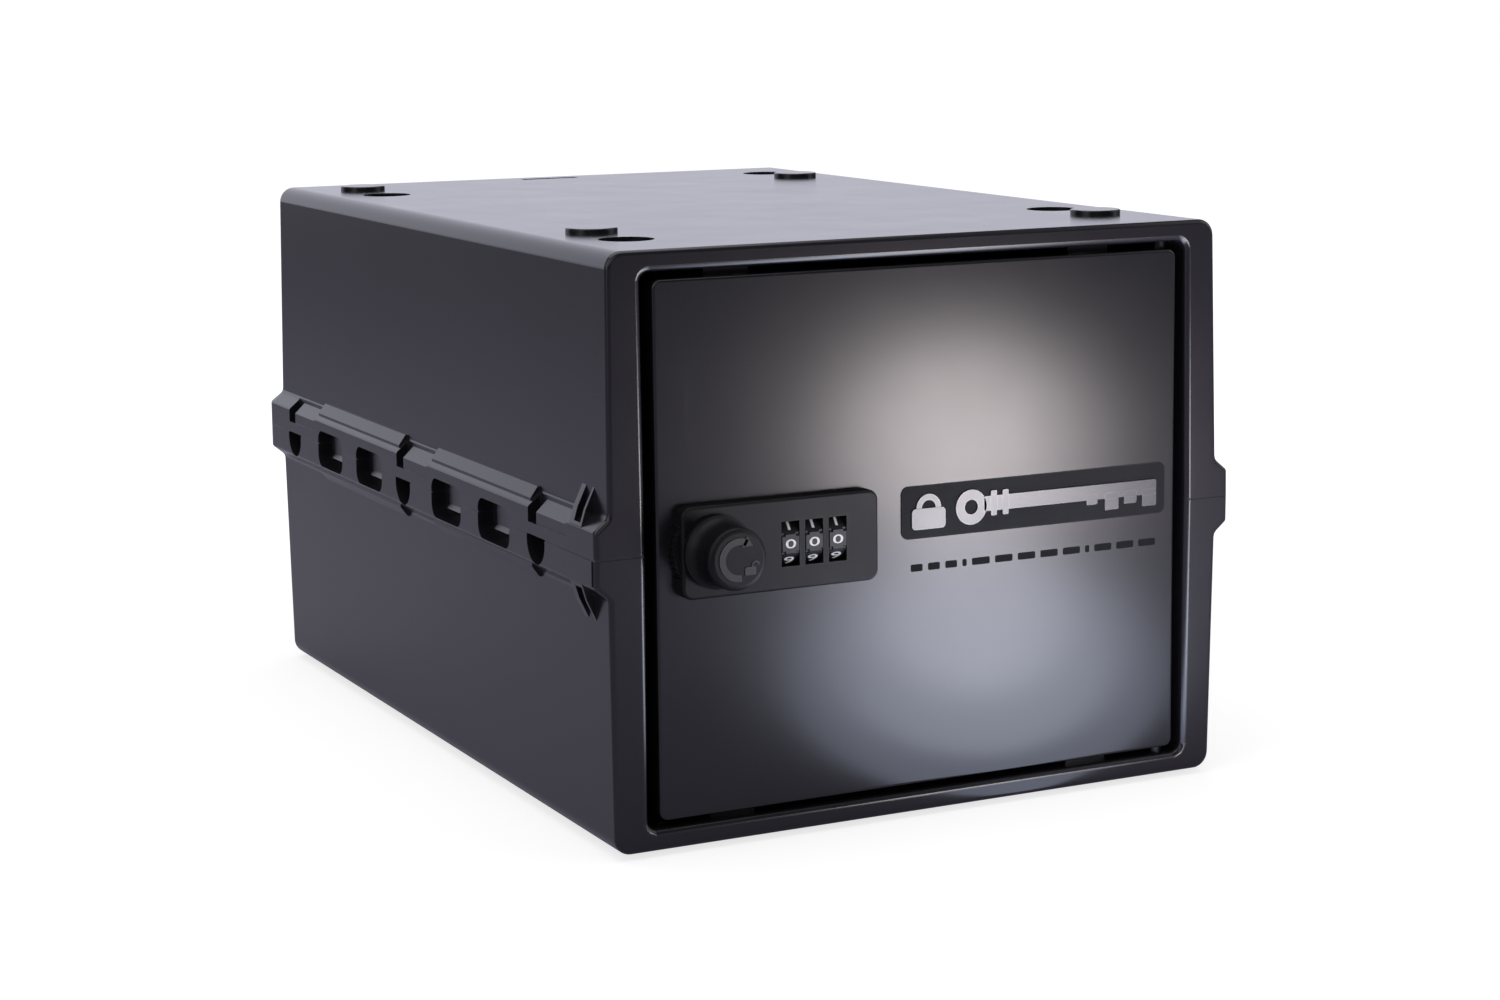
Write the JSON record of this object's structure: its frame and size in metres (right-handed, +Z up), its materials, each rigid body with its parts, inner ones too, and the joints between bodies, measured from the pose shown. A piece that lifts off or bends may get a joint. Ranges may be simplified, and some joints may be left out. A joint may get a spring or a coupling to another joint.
{
  "type": "lockable storage box",
  "caption": "Black moulded plastic lock-box made of clipped half shells, with a side-hung front door and a turning knob lock set by digit wheels; it stacks on pegs.",
  "frame": {"origin": "on the floor under the centre of the body, at the level of the foot pegs", "axes": "+Z up, +X towards the hinge side, -Y the way the door faces"},
  "size_m": [0.2114, 0.3186, 0.1734],
  "materials": {
    "shell_plastic": "satin",
    "door_plastic": "satin gloss",
    "plate_plastic": "fine texture",
    "lock_plastic": "satin",
    "wheel_plastic": "satin",
    "zinc": "die cast",
    "steel": "zinc plated"
  },
  "bodies": {
    "case": {"upper_shell": "shell_plastic", "lower_shell": "shell_plastic", "hinge_pin_upper": "steel", "hinge_pin_lower": "steel"},
    "door": {"door_panel": "door_plastic", "name_plate": "plate_plastic", "lock_faceplate": "lock_plastic", "lock_housing": "lock_plastic", "lock_back_cover": "lock_plastic", "lock_fixing_screws": "steel", "cover_screws": "steel", "wheel_axle": "steel", "slider_spring": "steel", "wheel_detent_spring": "steel"},
    "knob": {"knob": "lock_plastic", "knob_cap": "lock_plastic", "thumb_wheel": "lock_plastic", "lock_spindle": "zinc", "latch_cam": "steel", "cam_washer": "steel", "cam_screw": "steel"},
    "slider": {"locking_slider": "zinc"},
    "reset": {"reset_lever": "lock_plastic"},
    "wheel_left": {"digit_wheel_left": "wheel_plastic", "code_sleeve_left": "zinc"},
    "wheel_middle": {"digit_wheel_middle": "wheel_plastic", "code_sleeve_middle": "zinc"},
    "wheel_right": {"digit_wheel_right": "wheel_plastic", "code_sleeve_right": "zinc"}
  },
  "joints": [
    {"name": "door_hinge", "type": "hinge", "parent": "case", "child": "door", "pos_m": [0.08295, -0.1428, 0.0867], "axis": [0, 0, 1], "range_deg": [0, 105]},
    {"name": "knob_turn", "type": "hinge", "parent": "door", "child": "knob", "pos_m": [-0.06965, -0.1517, 0.0867], "axis": [0, 1, 0], "range_deg": [-90, 0]},
    {"name": "slider_shift", "type": "slide", "parent": "door", "child": "slider", "axis": [1, 0, 0], "range_m": [-0.00135, 0]},
    {"name": "reset_turn", "type": "hinge", "parent": "door", "child": "reset", "pos_m": [-0.03905, -0.1436, 0.0867], "axis": [0, 1, 0], "range_deg": [0, 90]},
    {"name": "dial_left", "type": "hinge", "parent": "door", "child": "wheel_left", "pos_m": [-0.0466, -0.1436, 0.0867], "axis": [1, 0, 0], "continuous": true},
    {"name": "dial_middle", "type": "hinge", "parent": "door", "child": "wheel_middle", "pos_m": [-0.03905, -0.1436, 0.0867], "axis": [1, 0, 0], "continuous": true},
    {"name": "dial_right", "type": "hinge", "parent": "door", "child": "wheel_right", "pos_m": [-0.0315, -0.1436, 0.0867], "axis": [1, 0, 0], "continuous": true}
  ],
  "couplings": [
    {"joint": "slider_shift", "follows": "knob_turn", "m_per_rad": 0.00085944}
  ]
}
